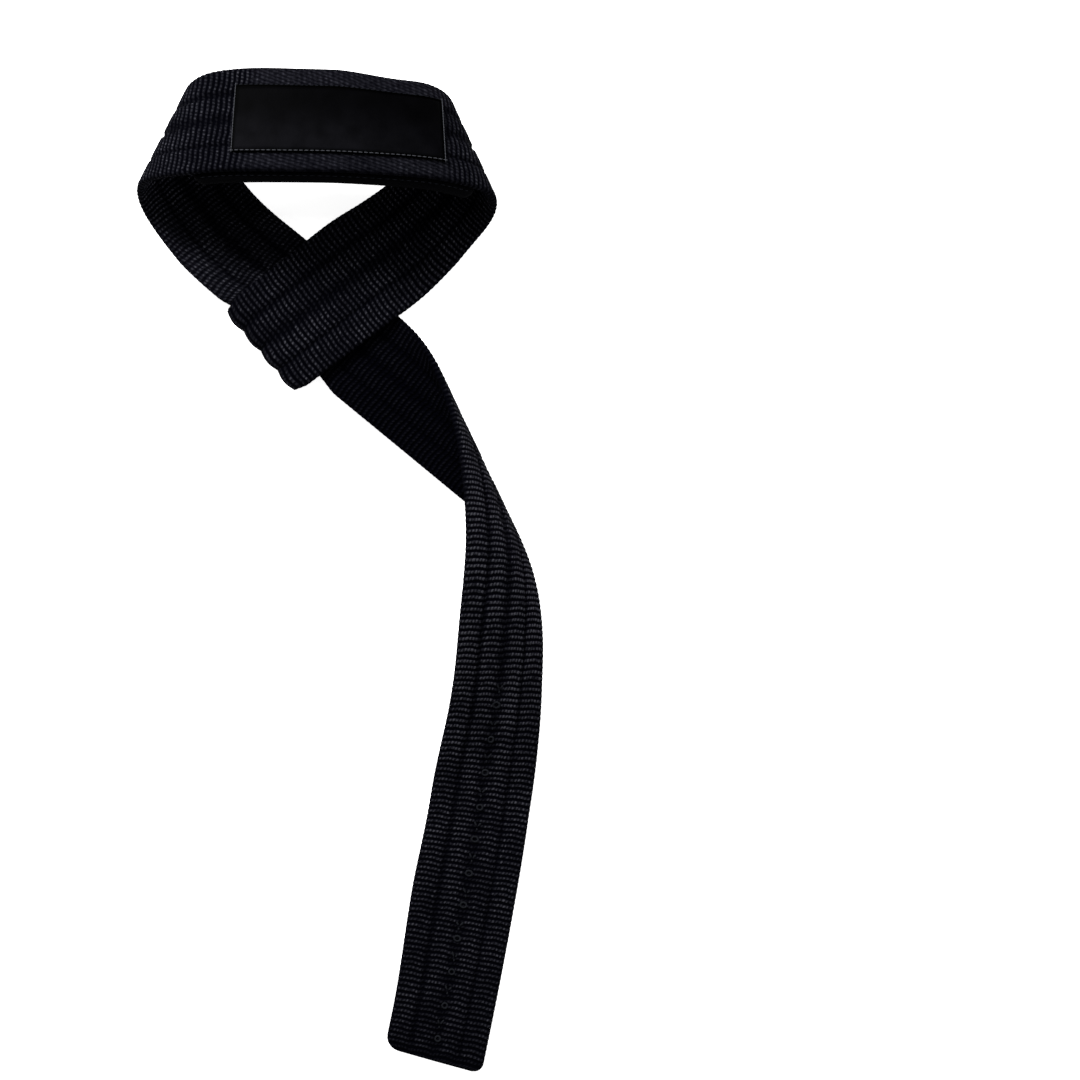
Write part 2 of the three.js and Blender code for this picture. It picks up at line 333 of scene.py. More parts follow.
crossing_path = np.vstack([walk(crossing, tail_fold, -1)[:-1], walk(crossing, left_side + arch, 1)])
sleeve_path = np.vstack([walk(sleeve, right_side + arch, -1)[:-1], walk(sleeve, sleeve_end, 1)])
WEB_END = LOOP_LENGTH + sleeve_path[-1, 0]
FOLD_START = LOOP_LENGTH + SLEEVE_REACH
FOLD_STOP = FOLD_START + math.pi * FOLD_RADIUS

foot = place(crossing_path, np.array([-LANDING]), np.array([-WEB_WIDTH / 2]), np.zeros(1))[0]
rest_start = start_frame(foot[0], foot[1], REST_HEIGHT, LAND_HEADING, False)
rest_start["point"] += rest_start["across"] * (WEB_WIDTH / 2)
rest_start["s"] = -LANDING
rest_path = walk(rest_start, tail_rest, -1)

# How far the two sides sink towards the ground, the second counted from the sleeve
crossing_settle = [
    {"at": -1.8 * WEB_WIDTH, "drop": LAYER},
    {"at": -0.6 * WEB_WIDTH, "drop": 0},
    {"at": 0.6 * WEB_WIDTH, "drop": 0},
    {"at": 1.1 * LEFT_LENGTH, "drop": LAYER},
]
sleeve_settle = [
    {"at": -1.4 * RIGHT_LENGTH, "drop": 2 * LAYER + SLEEVE_ROOM},
    {"at": -0.9 * RIGHT_LENGTH, "drop": LAYER + SLEEVE_ROOM},
    {"at": -0.66 * RIGHT_LENGTH, "drop": LAYER + SLEEVE_ROOM},
    {"at": -0.35 * RIGHT_LENGTH, "drop": 0},
]

# How far the loop's middle line wanders across its band
band_bow = [
    {"at": 0.04 * LOOP_LENGTH, "shift": 0},
    {"at": 0.17 * LOOP_LENGTH, "shift": -0.05 * WEB_WIDTH},
    {"at": 0.26 * LOOP_LENGTH, "shift": -0.03 * WEB_WIDTH},
    {"at": 0.35 * LOOP_LENGTH, "shift": -0.07 * WEB_WIDTH},
    {"at": 0.53 * LOOP_LENGTH, "shift": 0.11 * WEB_WIDTH},
    {"at": 0.7 * LOOP_LENGTH, "shift": 0},
]

# How far the tail's middle line wanders below its fold
tail_bow = [
    {"at": -0.6 * TAIL_LENGTH, "shift": 0},
    {"at": -0.46 * TAIL_LENGTH, "shift": 1.5},
    {"at": -0.38 * TAIL_LENGTH, "shift": 1.2},
    {"at": -0.28 * TAIL_LENGTH, "shift": 0},
]

# How far the pad inside stretches the upper half of the band
band_swell = [
    {"at": 0.3 * LOOP_LENGTH, "share": 0},
    {"at": 0.4 * LOOP_LENGTH, "share": 0.09},
    {"at": 0.52 * LOOP_LENGTH, "share": 0.05},
    {"at": 0.61 * LOOP_LENGTH, "share": -0.05},
    {"at": 0.74 * LOOP_LENGTH, "share": 0},
]

# How much of the tail's place is the ground's and no longer the fold's
tail_landing = [
    {"at": -0.7 * TAIL_LENGTH, "share": 1},
    {"at": -0.38 * TAIL_LENGTH, "share": 0},
]

# Widths that the webbing is cupped, tucked or spread to
cup_widths = [
    {"at": -0.95 * TAIL_LENGTH, "low": 1, "high": 1},
    {"at": -0.8 * TAIL_LENGTH, "low": 1, "high": 1.07},
    {"at": -0.68 * TAIL_LENGTH, "low": 1, "high": 1},
    {"at": -0.52 * TAIL_LENGTH, "low": TAIL_CUP - 0.05, "high": TAIL_CUP + 0.03},
    {"at": -0.38 * TAIL_LENGTH, "low": TAIL_CUP - 0.1, "high": TAIL_CUP + 0.05},
    {"at": -0.28 * TAIL_LENGTH, "low": 1, "high": 1},
]
tuck_widths = [
    {"at": -0.75 * WEB_WIDTH, "share": 1},
    {"at": -0.45 * WEB_WIDTH, "share": TAIL_TUCK},
    {"at": 0.45 * WEB_WIDTH, "share": TAIL_TUCK},
    {"at": 0.75 * WEB_WIDTH, "share": 1},
]
sleeve_widths = [
    {"at": LOOP_LENGTH - 1.7 * WEB_WIDTH, "share": 1},
    {"at": LOOP_LENGTH - 0.7 * WEB_WIDTH, "share": SLEEVE_SPREAD + 0.02},
    {"at": FOLD_START, "share": SLEEVE_SPREAD},
    {"at": FOLD_START + 0.5 * WEB_WIDTH, "share": 1},
    {"at": WEB_END - 0.4 * WEB_WIDTH, "share": 0.9},
]

# Where the ribs are stretched smooth, and by how much: up the loop's left side, and over the pad
stretched = [
    {"start": 0.05 * LOOP_LENGTH, "end": 0.2 * LOOP_LENGTH, "less": 0.35},
    {"start": 0.42 * LOOP_LENGTH, "end": 0.65 * LOOP_LENGTH, "less": 0.75},
]

# Painted shade and light besides the black's own tone: the inner face is painted near black between the
# crossing and the tail's fold, for the shade on it there, and the outer face is painted lighter just past
# the fold, for the light on it. Elsewhere the shares make the black lighter or darker along the strap.
tone_shade_and_light = [
    {"at": -TAIL_LENGTH, "outer": 0.76, "inner": 0.88},
    {"at": -0.75 * TAIL_LENGTH, "outer": 0.9, "inner": 0.88},
    {"at": -0.48 * TAIL_LENGTH, "outer": 1.3, "inner": 0.7},
    {"at": -0.44 * TAIL_LENGTH, "outer": 1.3, "inner": 0.12},
    {"at": -0.7 * WEB_WIDTH, "outer": 1.1, "inner": 0.3},
    {"at": 0.6 * WEB_WIDTH, "outer": 1, "inner": 0.95},
    {"at": 0.3 * LOOP_LENGTH, "outer": 0.82, "inner": 0.95},
    {"at": LOOP_LENGTH - 1.5 * WEB_WIDTH, "outer": 0.82, "inner": 0.95},
    {"at": LOOP_LENGTH - 0.5 * WEB_WIDTH, "outer": 0.82, "inner": 0.84},
]


def on_crossing(s, t, h):
    """Places on the part of the webbing that passes under the sleeve."""
    point = place(crossing_path, s, t, h)
    point[:, 2] -= value_at(crossing_settle, "drop", s)
    return point


def on_sleeve(s, t, h):
    """Places on the part of the webbing that ends in the sleeve."""
    point = place(sleeve_path, s, t, h)
    point[:, 2] -= value_at(sleeve_settle, "drop", s)
    return point


def on_webbing(s, t, h):
    """Places on the laid webbing, in millimetres from the crossing."""
    swell = 1 + np.where((s > 0) & (t > 0), value_at(band_swell, "share", s), 0)
    bow = np.where(s > 0, value_at(band_bow, "shift", s), value_at(tail_bow, "shift", s))
    bowed = t * swell + bow
    near = on_crossing(s, bowed, h)
    far = on_sleeve(s - LOOP_LENGTH, np.where(s > LOOP_LENGTH, t, bowed), h)
    ground = place(rest_path, s, bowed, h)
    to_far = ease(left_end[0], left_end[0] + arch_run, s)[:, None]
    to_ground = value_at(tail_landing, "share", s)[:, None]
    loop = near * (1 - to_far) + far * to_far
    tail = near * (1 - to_ground) + ground * to_ground
    return np.where(s[:, None] > 0, loop, tail)


def spread(s, t):
    """Width at s as a share of the flat webbing's, on the side that t names."""
    tuck = np.where(t < 0, value_at(tuck_widths, "share", s), 1)
    cup = np.where(t < 0, value_at(cup_widths, "low", s), value_at(cup_widths, "high", s))
    return tuck * cup * value_at(sleeve_widths, "share", s)


def noise(*seeds):
    """A number from -1 to 1 that depends only on its seeds."""
    value = np.sin(sum(seed * factor for seed, factor in zip(seeds, SCATTER))) * SCATTER_GAIN
    return 2 * (value - np.floor(value)) - 1


def drift(s, step, seed):
    """A smooth wander along s, from -1 to 1, with a new value every step."""
    cell = np.floor(s / step)
    share = ease(0, 1, s / step - cell)
    return noise(cell, seed) * (1 - share) + noise(cell + 1, seed) * share


def vertices(piece):
    """The piece's points, as rows of x, y and z."""
    flat = np.empty(len(piece.data.vertices) * 3)
    piece.data.vertices.foreach_get("co", flat)
    return flat.reshape(-1, 3)


def move(piece, x, y, z):
    """Moves the piece's points, in their own order, to new places."""
    piece.data.vertices.foreach_set("co", np.column_stack([x, y, z]).ravel())


def finish(piece, material, slot, *nodes):
    """Lays a piece that was modelled flat, x along and y across in millimetres, and dresses it."""
    s, t, h = vertices(piece).T
    laid = (on_webbing(s, t, h) + CROSSING) * MM
    move(piece, *laid.T)
    piece.data.flip_normals()
    piece.data.update()
    piece.data.shade_smooth()
    piece.data.materials.clear()
    piece.data.materials.append(material)
    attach(piece, "root")
    if nodes:
        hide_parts(*nodes)


def apply_form():
    """Takes the new primitive's turn, place and size into its mesh."""
    bpy.ops.object.transform_apply(location=True, rotation=True, scale=True)


def flat_slab(name, start, end, width, rows, columns):
    """A flat closed slab of unit thickness, as one grid given a wall."""
    bpy.ops.mesh.primitive_grid_add(x_subdivisions=rows, y_subdivisions=columns, size=1)
    slab = bpy.context.active_object
    slab.name = slab.data.name = name
    slab.scale = (end - start, width, 1)
    slab.location = ((start + end) / 2, 0, 0)
    apply_form()
    wall = slab.modifiers.new("wall", "SOLIDIFY")
    wall.thickness = 1
    wall.offset = 0
    bpy.ops.object.modifier_apply(modifier=wall.name)
    bpy.ops.object.select_all(action="DESELECT")
    return slab


def give_weave(piece, rows, threads):
    """A UV map that counts the weave's rows along the piece and its threads across."""
    corners = np.empty(len(piece.data.loops), int)
    piece.data.loops.foreach_get("vertex_index", corners)
    layer = piece.data.uv_layers.active
    layer.name = "weave"
    layer.data.foreach_set("uv", np.column_stack([rows[corners], threads[corners]]).ravel())


def crowd(t):
    """Moves evenly spaced columns towards the grooves, where the section turns most."""
    pitch = WEB_WIDTH / RIB_COUNT
    number = np.clip(np.floor(t / pitch + RIB_COUNT / 2), 0, RIB_COUNT - 1)
    middle = (number + 0.5 - RIB_COUNT / 2) * pitch
    return middle + pitch / 2 * np.sin(np.clip((t - middle) / pitch, -0.5, 0.5) * math.pi)


def at_fold(s):
    """1 where the sleeve end folds back."""
    return between(FOLD_START, FOLD_STOP, outside=6, inside=1, s=s)


def crest(s, t):
    """0 in the grooves and along the edges, 1 on the padded channels. The fold draws them into lobes."""
    flat = np.sqrt(np.clip((WEB_WIDTH / 2 - np.abs(t)) / EDGE_ROUND, 0, 1))
    gathered = np.cos(4 * math.pi * (s + TAIL_LENGTH) / BINDER_PITCH)
    for groove in GROOVES:
        half = groove["half"] * (1 + groove["gather"] * gathered)
        flat = flat * ease(0.45 * half, 1.3 * half, np.abs(t - groove["at"]))
    lobe = np.abs(np.sin(math.pi * (t / WEB_WIDTH + 0.5) * RIB_COUNT))
    return flat * (1 - at_fold(s)) + lobe * at_fold(s)


def ribbed(s):
    """How clearly the ribs stand out. Where the webbing is stretched, single threads show instead."""
    value = np.ones(s.shape)
    for row in stretched:
        value -= row["less"] * between(row["start"], row["end"], outside=6, inside=6, s=s)
    return value


def row_count(s, t):
    """The weave's rows counted along s. Each channel's rows wander a little by themselves."""
    rows = s / ROW_PITCH + ROW_WANDER * drift(s, step=9.0, seed=3.0)
    for k, groove in enumerate(GROOVES):
        past = ease(groove["at"] - GROOVE_EASE, groove["at"] + GROOVE_EASE, t)
        own = drift(s + 31 * k, step=17.0, seed=7.0 + k)
        rows = rows + past * (CHANNEL_WANDER + CHANNEL_WANDER * own)
    bow = np.abs(np.cos(math.pi * (t / WEB_WIDTH + 0.5) * RIB_COUNT)) ** 2
    rows = rows + ROW_BOW * bow
    for ripple in RIPPLES:
        rows = rows + ripple["reach"] * np.sin(ripple["across"] * t + ripple["along"] * s)
    return rows


def half_thick(s, t):
    """Half the webbing's thickness: padded channels, crossed by the ribs of the weave."""
    outermost = ease(0.4 * WEB_WIDTH, 0.5 * WEB_WIDTH, np.abs(t))
    valley = (GROOVE_THICK + (EDGE_THICK - GROOVE_THICK) * outermost) / 2
    valley = valley * (1 - FOLD_PINCH * at_fold(s))
    high = WEB_THICK / 2 - ROW_DEPTH / 2
    rows = row_count(s, t)
    ribs = np.abs(np.cos(math.pi * rows)) - 0.5
    uneven = 1 + ROW_UNEVEN * noise(np.round(rows), np.round(t / UNEVEN_WIDTH))
    padded = crest(s, t)
    return valley + (high - valley) * padded + ROW_DEPTH * ribs * uneven * (0.45 + 0.55 * padded) * ribbed(s)


def keep(piece, name, values):
    """Keeps a number at each point, for the piece's colour."""
    layer = piece.data.attributes.new(name, "FLOAT", "POINT")
    layer.data.foreach_set("value", values)


def webbing_piece(name, start, end):
    """A length of the webbing, woven flat."""
    cuts = round((end - start) / (ROW_PITCH / ROW_CUTS))
    piece = flat_slab(name, start, end, WEB_WIDTH, cuts, CHANNEL_CUTS * RIB_COUNT)
    s, t, side = vertices(piece).T
    t = crowd(t)
    rows = row_count(s, t)
    give_weave(piece, rows, t / THREAD_PITCH)
    corner = np.where(t > 0, WIDE_CORNER, TAIL_CORNER)
    inset = np.clip(corner - (s + TAIL_LENGTH), 0, corner)
    cut = corner - np.sqrt(corner ** 2 - inset ** 2)
    waist = 1 - FOLD_WAIST * between(FOLD_START, FOLD_STOP, outside=3, inside=4, s=s)
    narrow = (1 - cut / (WEB_WIDTH / 2)) * waist
    hem_end = HEM_LENGTH - TAIL_LENGTH
    hem = 1 - ease(hem_end - HEM_EASE, hem_end + HEM_EASE, s)
    smooth = GROOVE_THICK / 2 + HEM_CROWN * np.sqrt(np.clip(1 - (inset / corner) ** 2, 0, 1))
    thick = half_thick(s, t) * (1 - hem) + smooth * hem
    keep(piece, "crest", crest(s, t) * (1 - hem))
    keep(piece, "ribbed", ribbed(s))
    # Painted shade and light on each face, as the table above gives it
    keep(piece, "tone_shade_light", np.where(side < 0, value_at(tone_shade_and_light, "outer", s), value_at(tone_shade_and_light, "inner", s)))
    selvedge = ease(0.47 * WEB_WIDTH, 0.5 * WEB_WIDTH, np.abs(t)) * (1 - hem)
    loops = SELVEDGE_LOOP * np.cos(2 * math.pi * rows) * selvedge * np.sign(t)
    askew = ASKEW * t * (1 - ease(-TAIL_LENGTH, ASKEW_RUN - TAIL_LENGTH, s))
    move(piece, s + askew, (t * narrow + loops) * spread(s, t), np.sign(side) * thick)
    return piece


def repeat(piece, count, step, axis=0):
    """Copies a small piece along the webbing or across it."""
    row = piece.modifiers.new("row", "ARRAY")
    row.count = count
    row.use_relative_offset = False
    row.use_constant_offset = True
    row.constant_offset_displace = [step if i == axis else 0 for i in range(3)]
    bpy.context.view_layer.objects.active = piece
    bpy.ops.object.modifier_apply(modifier=row.name)


def bead(place_at, size, turn=0.0):
    """A small long round bead of thread, lying flat."""
    bpy.ops.mesh.primitive_uv_sphere_add(segments=8, ring_count=5, radius=0.5, location=place_at)
    made = bpy.context.active_object
    made.scale = size
    made.rotation_euler.z = math.radians(turn)
    apply_form()
    bpy.ops.object.select_all(action="DESELECT")
    return made


def join(name, pieces):
    """One piece out of several."""
    for piece in pieces:
        piece.select_set(True)
    bpy.context.view_layer.objects.active = pieces[0]
    bpy.ops.object.join()
    pieces[0].name = pieces[0].data.name = name
    bpy.ops.object.select_all(action="DESELECT")
    return pieces[0]


def stitch_line(start, end, stitch, height):
    """Stitches between two flat places, along the webbing or across it."""
    axis = 0 if start[0] != end[0] else 1
    length, width, rise = stitch["size"]
    count = max(1, round((end[axis] - start[axis]) / stitch["pitch"]))
    line = bead((*start, height), (length, width, rise) if axis == 0 else (width, length, rise))
    repeat(line, count + 1, (end[axis] - start[axis]) / count, axis)
    return line


def binder(name, start, end):
    """The binder's thread in the outer face's middle groove: a small loop, then two strokes that meet."""
    height = -GROOVE_THICK / 2 - BINDER_RISE
    crossed = start + BINDER_PITCH / 2
    bpy.ops.mesh.primitive_torus_add(
        location=(start, 0, height), major_radius=BINDER_LOOP, minor_radius=BINDER_THREAD,
        major_segments=12, minor_segments=5)
    loop = bpy.context.active_object
    loop.scale = (0.95, 1.1, 1)
    apply_form()
    bpy.ops.object.select_all(action="DESELECT")
    strokes = [bead((crossed, 0.85 * k, height), (2.5, 0.8, 0.5), 32 * k) for k in (-1, 1)]
    knot = bead((crossed - 2.2, 0, height), (1.1, 0.7, 0.5))
    row = join(name, [loop, knot] + strokes)
    repeat(row, int((end - start) / BINDER_PITCH), BINDER_PITCH)
    s, t, h = vertices(row).T
    number = np.floor((s - start + BINDER_PITCH / 4) / (BINDER_PITCH / 2))
    uneven = 1 + 0.15 * noise(number, 5)
    move(row, s + 0.5 * noise(number, 3), t * uneven + 0.3 * noise(number, 8), h)
    return row


def linear(colour):
    """An sRGB hex colour as linear red, green, blue and alpha."""
    channels = [int(colour[i:i + 2], 16) / 255 for i in (0, 2, 4)]
    return [c / 12.92 if c <= 0.04045 else ((c + 0.055) / 1.055) ** 2.4 for c in channels] + [1]


def add(tree, kind, inputs=None, **settings):
    """A node with its settings, and its inputs as values or as links from sockets or nodes."""
    made = tree.nodes.new(kind)
    for name, value in settings.items():
        setattr(made, name, value)
    for name, value in (inputs or {}).items():
        if isinstance(value, bpy.types.Node):
            value = value.outputs[0]
        if isinstance(value, bpy.types.NodeSocket):
            tree.links.new(value, made.inputs[name])
        else:
            made.inputs[name].default_value = value
    return made


def new_material(name):
    """An empty material, with its node tree and its shader."""
    made = bpy.data.materials.new(name)
    made.use_nodes = True
    tree = made.node_tree
    return made, tree, tree.nodes["Principled BSDF"]


def ribbed_cotton():
    """Black ribbed cotton webbing, with painted light and shade: the thread crowns are painted lighter, for
    the light that catches them, and the gaps and grooves are painted near black, for the shade in them.

    Its patterns are scaled in the rows and threads that the UV map counts.
    """
    made, tree, surface = new_material("ribbed_cotton")
    weave = add(tree, "ShaderNodeUVMap", uv_map="weave").outputs["UV"]
    crested = add(tree, "ShaderNodeAttribute", attribute_name="crest").outputs["Fac"]
    clear = add(tree, "ShaderNodeAttribute", attribute_name="ribbed").outputs["Fac"]
    tone_shade_light_share = add(tree, "ShaderNodeAttribute", attribute_name="tone_shade_light").outputs["Fac"]

    # The threads stray a little from their straight lines
    stray = add(tree, "ShaderNodeTexNoise", {"Vector": weave, "Scale": 0.6, "Detail": 2.0})
    stray = add(tree, "ShaderNodeVectorMath", {0: stray.outputs["Color"], 1: (0.5, 0.5, 0.5)},
                operation="SUBTRACT")
    strayed = add(tree, "ShaderNodeVectorMath", {0: stray, 1: (0.2, 0.7, 0.0), 2: weave},
                  operation="MULTIPLY_ADD")
    place_in = add(tree, "ShaderNodeSeparateXYZ", {0: strayed})

    # The rows, painted lighter on their crowns and dark in the gaps between them, which blur into one tone
    # where the webbing is stretched
    row = add(tree, "ShaderNodeMath", {0: place_in.outputs["X"], 1: 2 * math.pi}, operation="MULTIPLY")
    row = add(tree, "ShaderNodeMath", {0: row}, operation="COSINE")
    row = add(tree, "ShaderNodeMapRange", {"Value": row, "From Min": -0.85, "From Max": 0.85},
              interpolation_type="SMOOTHSTEP")
    row = add(tree, "ShaderNodeMix", {"Factor": clear, "A": 0.62, "B": row})

    # Each row's threads lie half a thread aside from those of the row before
    thread = add(tree, "ShaderNodeMath", {0: place_in.outputs["X"], 1: 0.5, 2: place_in.outputs["Y"]},
                 operation="MULTIPLY_ADD")
    thread = add(tree, "ShaderNodeMath", {0: thread, 1: 2 * math.pi}, operation="MULTIPLY")
    thread = add(tree, "ShaderNodeMath", {0: thread}, operation="COSINE")
    thread = add(tree, "ShaderNodeMapRange",
                 {"Value": thread, "From Min": -1.0, "From Max": 0.6, "To Min": 0.42, "To Max": 1.05})
    crown = add(tree, "ShaderNodeMath", {0: row, 1: thread}, operation="MULTIPLY")

    # Each thread takes a little more or less dye, so single crowns stand out
    patchy = add(tree, "ShaderNodeTexNoise",
                 {"Vector": weave, "Scale": 1.15, "Detail": 3.0, "Roughness": 0.8})
    patchy = add(tree, "ShaderNodeMapRange",
                 {"Value": patchy, "From Min": 0.3, "From Max": 0.72, "To Min": 0.2, "To Max": 1.45})

    # Wear lightens the webbing in patches some eight rows wide
    worn = add(tree, "ShaderNodeTexNoise", {"Vector": weave, "Scale": 0.13, "Detail": 2.0})
    worn = add(tree, "ShaderNodeMapRange",
               {"Value": worn, "From Min": 0.3, "From Max": 0.7, "To Min": 0.72, "To Max": 1.12})
    # Painted shade: the grooves and edges are painted darker than the padded channels, for the shade that
    # lies in them
    painted_groove_shade = add(tree, "ShaderNodeMapRange", {"Value": crested, "To Min": 0.4, "To Max": 1.0})
    lit = crown
    for share in (patchy, painted_groove_shade, worn, tone_shade_light_share):
        lit = add(tree, "ShaderNodeMath", {0: lit, 1: share}, operation="MULTIPLY")
    # The colour: near black in the painted shade of the gaps and grooves, up to a dark grey on the crowns,
    # which are painted lighter for the light on them
    colour = add(tree, "ShaderNodeValToRGB", {0: lit})
    stops = colour.color_ramp.elements
    stops[0].position = 0.04
    stops[0].color = linear("010103")
    stops[1].position = 1.0
    stops[1].color = linear("313136")
    for position, shade in ((0.3, "0b0b0f"), (0.6, "17171c")):
        stops.new(position).color = linear(shade)

    # The fibres' fuzz is drawn at 0.4 mm, coarse enough to show
    fuzz = add(tree, "ShaderNodeTexNoise",
               {"Vector": add(tree, "ShaderNodeTexCoord").outputs["Object"], "Scale": 2600.0, "Detail": 2.0})
    height = add(tree, "ShaderNodeMath", {0: fuzz, 1: 0.35, 2: crown}, operation="MULTIPLY_ADD")
    bump = add(tree, "ShaderNodeBump", {"Height": height, "Strength": 1.0, "Distance": 0.35 * MM})
    surface.inputs["Roughness"].default_value = 0.95
    surface.inputs["Specular IOR Level"].default_value = 0.006
    tree.links.new(colour.outputs["Color"], surface.inputs["Base Color"])
    tree.links.new(bump.outputs["Normal"], surface.inputs["Normal"])
    return made


def simple_cloth(name, colour, roughness, specular, grain):
    """Cloth or thread of one colour, with a fine grain of the given size in millimetres."""
    made, tree, surface = new_material(name)
    place_in = add(tree, "ShaderNodeTexCoord").outputs["Object"]
    speck = add(tree, "ShaderNodeTexNoise", {"Vector": place_in, "Scale": 1 / (grain * MM), "Detail": 2.0})
    bump = add(tree, "ShaderNodeBump", {"Height": speck, "Strength": 0.5, "Distance": grain * 0.3 * MM})
    surface.inputs["Base Color"].default_value = linear(colour)
    surface.inputs["Roughness"].default_value = roughness
    surface.inputs["Specular IOR Level"].default_value = specular
    tree.links.new(bump.outputs["Normal"], surface.inputs["Normal"])
    return made


def satin():
    """Black satin with an uneven tone and a painted highlight, painted darker along the gutter that the
    stitches pull in, for the shade there.
    """
    made = simple_cloth("black_satin", "030304", 0.5, 0.003, 0.35)
    tree = made.node_tree
    place_in = add(tree, "ShaderNodeTexCoord").outputs["Object"]
    uneven = add(tree, "ShaderNodeTexNoise", {"Vector": place_in, "Scale": 150.0, "Detail": 4.0})
    uneven = add(tree, "ShaderNodeMapRange",
                 {"Value": uneven, "From Min": 0.3, "From Max": 0.7, "To Min": 0.6, "To Max": 1.2})
    # Painted highlight and shade, kept at each point of the patch
    sheen_and_gutter_shade = add(tree, "ShaderNodeAttribute", attribute_name="sheen_and_gutter_shade").outputs["Fac"]
    shade = add(tree, "ShaderNodeMath", {0: uneven, 1: sheen_and_gutter_shade}, operation="MULTIPLY")
    colour = add(tree, "ShaderNodeValToRGB", {0: shade})
    colour.color_ramp.elements[0].color = linear("000000")
    colour.color_ramp.elements[1].color = linear("070709")
    tree.links.new(colour.outputs["Color"], tree.nodes["Principled BSDF"].inputs["Base Color"])
    return made


def seam(thread):
    """The lines of stitches that hold the sleeve's folded end to the loop."""
    half = 0.4 * WEB_WIDTH
    level = WEB_THICK / 2 - STITCH_SINK
    ends = [WEB_END - SEAM_LENGTH, WEB_END - 0.5 * SEAM_LENGTH, WEB_END - SEAM_INSET]
    lines = [stitch_line((s, -half), (s, half), SEAM_STITCH, level) for s in ends]
    finish(join("seam_stitches", lines), thread, "webbing")


def wrist_pad(foam, thread):
    """The foam pad inside the wrist loop, with rounded sides and corners and stitches along them."""
    middle = LOOP_MIDDLE + PAD_SHIFT
    pad = flat_slab("wrist_pad_foam", middle - PAD_LENGTH / 2, middle + PAD_LENGTH / 2, PAD_WIDTH,
                    rows=160, columns=60)
    s, t, side = vertices(pad).T
    from_end = PAD_LENGTH / 2 - np.abs(s - middle)
    from_side = PAD_WIDTH / 2 - np.abs(t)
    inset = np.clip(PAD_CORNER - from_end, 0, PAD_CORNER)
    narrow = 1 - (PAD_CORNER - np.sqrt(PAD_CORNER ** 2 - inset ** 2)) / (PAD_WIDTH / 2)
    edge = np.minimum(np.clip(from_end, 0, PAD_ROUND), np.clip(from_side, 0, PAD_ROUND)) / PAD_ROUND
    round_edge = PAD_RIM + (1 - PAD_RIM) * np.sqrt(np.clip(1 - (1 - edge) ** 2, 0, 1))
    over = WEB_THICK / 2 + CLEARANCE + PAD_THICK / 2
    move(pad, s, t * narrow, over + np.sign(side) * PAD_THICK / 2 * round_edge)
    finish(pad, foam, "pad", "wrist_pad")
    run = PAD_LENGTH / 2 - PAD_CORNER
    half = PAD_WIDTH / 2 - PAD_STITCH_INSET
    level = WEB_THICK / 2 + CLEARANCE + STITCH_SINK
    lines = [stitch_line((middle - run, t), (middle + run, t), PAD_STITCH, level) for t in (-half, half)]
    finish(join("pad_stitches", lines), thread, "pad")


def draw_in(s, t, middle):
    """The patch's lower edge is drawn in a little, where it is sewn down over the loop's curve."""
    return middle - LABEL_SLIP + (s - middle) * (1 - LABEL_DRAW + LABEL_DRAW * t / LABEL_WIDTH)


def label(cloth, thread, top_thread):
    """The bare satin patch on the outside of the loop, with a turned hem and a line of stitches."""
    middle = LOOP_MIDDLE + LABEL_SHIFT
    patch = flat_slab("label_satin", middle - LABEL_LENGTH / 2, middle + LABEL_LENGTH / 2, LABEL_WIDTH,
                      rows=160, columns=64)
    s, t, side = vertices(patch).T
    edge = np.minimum(LABEL_LENGTH / 2 - np.abs(s - middle), LABEL_WIDTH / 2 - np.abs(t))
    s = draw_in(s, t, middle)
    # Painted highlight and shade: the satin is painted lighter towards its lower left and darker towards its
    # top and right, and darker still in the gutter near its edge, for the shade there
    to_low = ease(0.3 * LABEL_WIDTH, -0.4 * LABEL_WIDTH, t)
    to_right = ease(-0.1 * LABEL_LENGTH, 0.5 * LABEL_LENGTH, s - middle)
    keep(patch, "sheen_and_gutter_shade", ease(0.6, 1.7, edge) * (0.25 + 0.75 * to_low * (1 - 0.7 * to_right)))
    hem = value_at(HEM_PROFILE, "share", edge)
    sag = LABEL_SAG * drift(s, step=11.0, seed=5.0) * ease(2, 5, edge)
    under = -WEB_THICK / 2 - CLEARANCE
    move(patch, s, t, under - np.where(side < 0, LABEL_THICK * hem + sag, 0))
    finish(patch, cloth, "label", "label_patch")
    left = middle - LABEL_LENGTH / 2 + LABEL_STITCH_INSET
    right = middle + LABEL_LENGTH / 2 - LABEL_STITCH_INSET
    half = LABEL_WIDTH / 2 - LABEL_STITCH_INSET
    level = under - LABEL_THICK
    lower = stitch_line((left, -half), (right, -half), LOWER_STITCH, level)
    upper = stitch_line((left, half), (right, half), UPPER_STITCH, level)
    ends = [stitch_line((s, -half), (s, half), SHORT_STITCH, level) for s in (left, right)]
    for name, lines, sewn_with in (("label_stitches", [lower] + ends, thread),
                                   ("label_top_stitches", [upper], top_thread)):
        sewn = join(name, lines)
        s, t, h = vertices(sewn).T
        move(sewn, draw_in(s, t, middle), t, h)
        finish(sewn, sewn_with, "label")


def camera():
    """A long lens that looks straight down."""
    data = bpy.data.cameras.new("camera")
    data.sensor_width = SENSOR
    data.lens = data.sensor_width * CAMERA_PLACE[2] / FIELD
    made = bpy.data.objects.new("camera", data)
    made.location = [c * MM for c in CAMERA_PLACE]
    bpy.context.scene.collection.objects.link(made)
    bpy.context.scene.camera = made


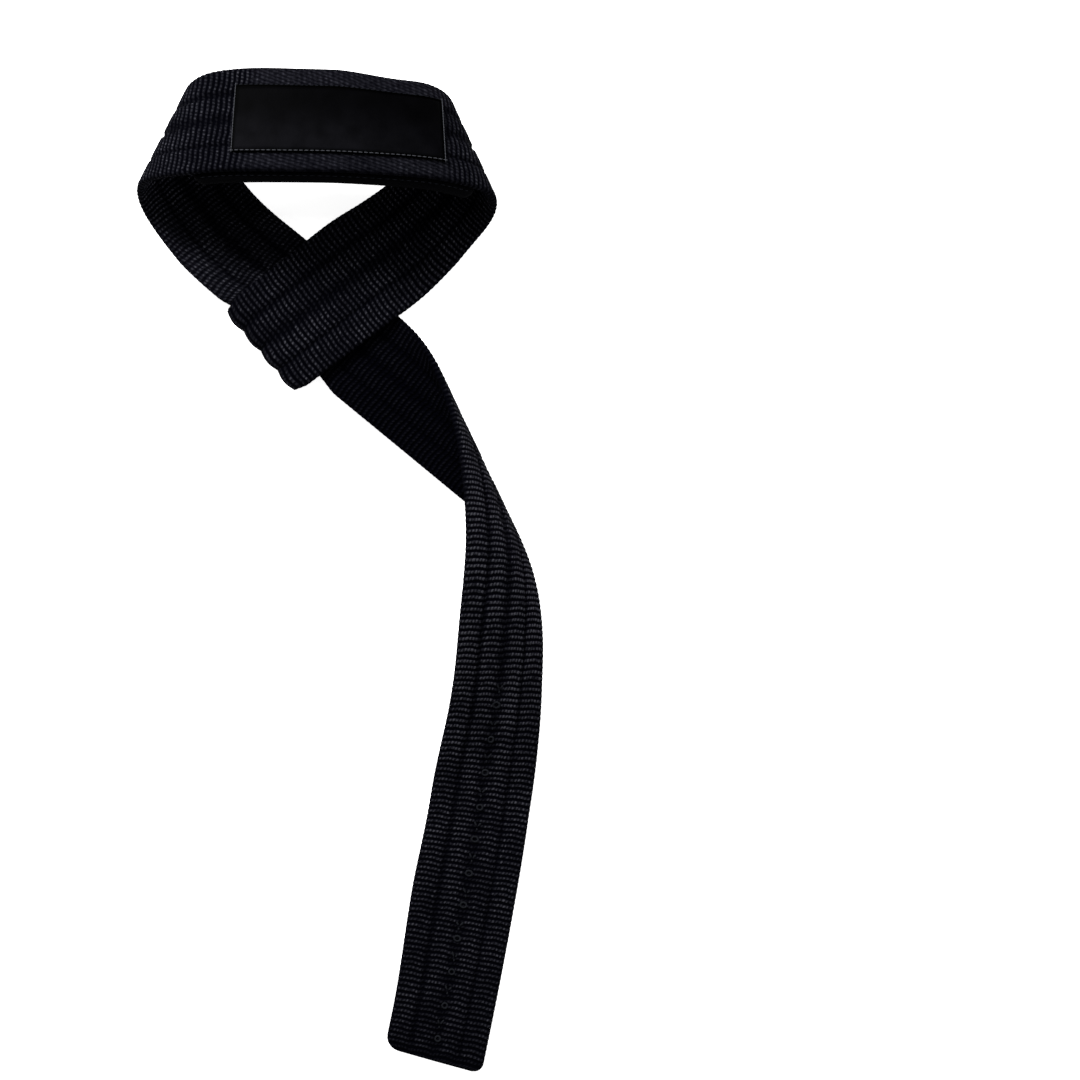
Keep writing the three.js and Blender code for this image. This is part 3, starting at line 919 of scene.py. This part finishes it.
def softbox(name, stand, size, power):
    """A square soft light that faces the middle of the strap."""
    data = bpy.data.lights.new(name, "AREA")
    data.size = size
    data.energy = power
    made = bpy.data.objects.new(name, data)
    made.location = stand
    made.rotation_euler = (-Vector(stand)).to_track_quat("-Z", "Y").to_euler()
    bpy.context.scene.collection.objects.link(made)


def studio():
    """White paper under a soft sky, with a broad light overhead and smaller ones at the sides."""
    bpy.ops.mesh.primitive_plane_add(size=FLOOR_SIZE, location=(0, 0, -FLOOR_DROP))
    floor = bpy.context.active_object
    floor.name = "floor"
    bpy.ops.object.select_all(action="DESELECT")
    # Matt paper that glows a little, so the strap's own shade on it stays faint
    made, tree, surface = new_material("white_paper")
    surface.inputs["Base Color"].default_value = linear("fafafa")
    surface.inputs["Roughness"].default_value = 0.9
    surface.inputs["Specular IOR Level"].default_value = 0.0
    surface.inputs["Emission Color"].default_value = linear("ffffff")
    surface.inputs["Emission Strength"].default_value = PAPER_GLOW
    floor.data.materials.append(made)
    world = bpy.data.worlds.new("studio")
    bpy.context.scene.world = world
    world.use_nodes = True
    sky = world.node_tree.nodes["Background"]
    sky.inputs["Color"].default_value = linear("ffffff")
    sky.inputs["Strength"].default_value = SKY_LIGHT
    for light in SOFTBOXES:
        softbox(**light)
    bpy.context.scene.view_settings.view_transform = "Standard"


camera()
cotton = ribbed_cotton()
black_satin = satin()
# A knitted cover over foam: an even, matt black that takes hardly any light
knitted_foam = simple_cloth("knitted_foam", "030304", 0.9, 0.006, 0.5)
# Polyester thread: small grey glints in a row
sewing_thread = simple_cloth("sewing_thread", "323337", 0.7, 0.05, 0.2)
# Polyester thread in black, which hardly shows on the webbing
dark_thread = simple_cloth("dark_thread", "101115", 0.8, 0.02, 0.2)
# The binder's soft cotton thread: dull, and a little lighter than the groove it lies in
binder_thread = simple_cloth("binder_thread", "141518", 0.9, 0.006, 0.2)

for name, start, end in (("webbing_tail", -TAIL_LENGTH, 0), ("webbing_loop", PIECE_GAP, WEB_END)):
    finish(webbing_piece(name, start, end), cotton, "webbing", "strap")
finish(binder("binder_loops", BINDER_START, BINDER_STOP), binder_thread, "webbing")
seam(dark_thread)
wrist_pad(knitted_foam, dark_thread)
label(black_satin, sewing_thread, dark_thread)
studio()
